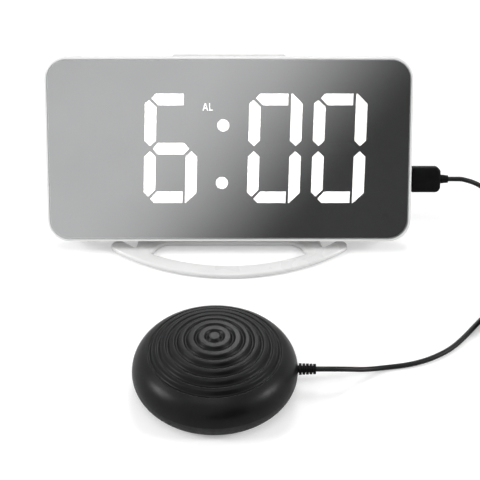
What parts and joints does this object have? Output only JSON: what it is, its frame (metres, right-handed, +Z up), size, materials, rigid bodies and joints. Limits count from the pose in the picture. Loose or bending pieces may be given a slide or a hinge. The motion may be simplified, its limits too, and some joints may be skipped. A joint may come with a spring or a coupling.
{
  "type": "bed shaker alarm clock",
  "caption": "Mirror-faced digital alarm clock leaning on a ring stand, with a round vibrating bed shaker on a cord plugged into its side.",
  "frame": {"origin": "bottom centre of the box round the head, the stand and the puck, on the surface that they stand on, without the plug and the cord", "axes": "+X to the reader's right along the display, +Y from the reader to the clock's back, +Z up"},
  "size_m": [0.2768, 0.198, 0.0976],
  "materials": {
    "mirror": "half mirror, smooth",
    "white_shell": "smooth moulded",
    "black_tray": "fine matte",
    "lit_diffuser": "milky, lit from behind",
    "dark_diffuser": "smoked, unlit",
    "board": "solder resist",
    "light_chip": "moulded",
    "chip": "moulded",
    "steel": "zinc plated",
    "switch": "moulded",
    "control": "fine matte",
    "cell": "drawn can",
    "foot_rubber": "soft",
    "shaker_black": "satin",
    "shaker_under": "satin",
    "motor_steel": "drawn can",
    "weight_metal": "sintered",
    "plug_black": "satin",
    "cord_black": "satin",
    "tie_black": "woven"
  },
  "bodies": {
    "clock_and_shaker": {"mirror_lens": "mirror", "front_frame": "white_shell", "rear_shell": "white_shell", "segment_reflector": "black_tray", "lit_segments": "lit_diffuser", "unlit_segments": "dark_diffuser", "colon_dots": "lit_diffuser", "alarm_indicator": "dark_diffuser", "main_board": "board", "board_screws": "steel", "segment_lights": "light_chip", "board_parts": "chip", "tact_switches": "switch", "mode_switch": "switch", "cell_holder": "switch", "coin_cell": "cell", "power_inlet": "chip", "alarm_buzzer": "chip", "shell_screws": "steel", "stand_screws": "steel", "socket_shell": "cell", "socket_tongue": "chip", "stand": "white_shell", "stand_feet": "foot_rubber", "shaker_top_shell": "shaker_black", "shaker_base": "shaker_under", "shaker_screws": "steel", "motor_can": "motor_steel", "motor_end_cap": "chip", "motor_clamp": "steel", "clamp_screws": "steel", "shaker_gland": "plug_black", "plug_shell": "cell", "plug_overmould": "plug_black", "plug_relief": "plug_black", "cord_plug_stretch": "cord_black", "cord_coil": "cord_black", "cord_shaker_stretch": "cord_black", "cord_tie": "tie_black"},
    "snooze": {"snooze_bar": "control"},
    "time_key": {"time_button": "control"},
    "alarm_key": {"alarm_button": "control"},
    "plus_key": {"plus_button": "control"},
    "minus_key": {"minus_button": "control"},
    "dimmer_key": {"dimmer_button": "control"},
    "mode_slider": {"mode_knob": "switch"},
    "battery_door": {"battery_cap": "white_shell"},
    "rotor": {"motor_shaft": "steel", "eccentric_weight": "weight_metal"}
  },
  "joints": [
    {"name": "snooze_press", "type": "slide", "parent": "clock_and_shaker", "child": "snooze", "axis": [0, -0.454, -0.891], "range_m": [0, 0.0007], "stiffness_N_per_m": 700, "springref_m": -0.0004},
    {"name": "time_press", "type": "slide", "parent": "clock_and_shaker", "child": "time_key", "axis": [0, -0.891, 0.454], "range_m": [0, 0.0006], "stiffness_N_per_m": 700, "springref_m": -0.0004},
    {"name": "alarm_press", "type": "slide", "parent": "clock_and_shaker", "child": "alarm_key", "axis": [0, -0.891, 0.454], "range_m": [0, 0.0006], "stiffness_N_per_m": 700, "springref_m": -0.0004},
    {"name": "plus_press", "type": "slide", "parent": "clock_and_shaker", "child": "plus_key", "axis": [0, -0.891, 0.454], "range_m": [0, 0.0006], "stiffness_N_per_m": 700, "springref_m": -0.0004},
    {"name": "minus_press", "type": "slide", "parent": "clock_and_shaker", "child": "minus_key", "axis": [0, -0.891, 0.454], "range_m": [0, 0.0006], "stiffness_N_per_m": 700, "springref_m": -0.0004},
    {"name": "dimmer_press", "type": "slide", "parent": "clock_and_shaker", "child": "dimmer_key", "axis": [0, -0.891, 0.454], "range_m": [0, 0.0006], "stiffness_N_per_m": 700, "springref_m": -0.0004},
    {"name": "mode_slide", "type": "slide", "parent": "clock_and_shaker", "child": "mode_slider", "axis": [1, 0, 0], "range_m": [-0.003, 0.003]},
    {"name": "battery_cap_turn", "type": "hinge", "parent": "clock_and_shaker", "child": "battery_door", "pos_m": [-0.058, 0.0681, 0.02616], "axis": [0, 0.891, -0.454], "range_deg": [0, 60]},
    {"name": "motor_spin", "type": "hinge", "parent": "clock_and_shaker", "child": "rotor", "pos_m": [-0.0062, -0.05904, 0.0135], "axis": [1, 0, 0], "continuous": true}
  ]
}
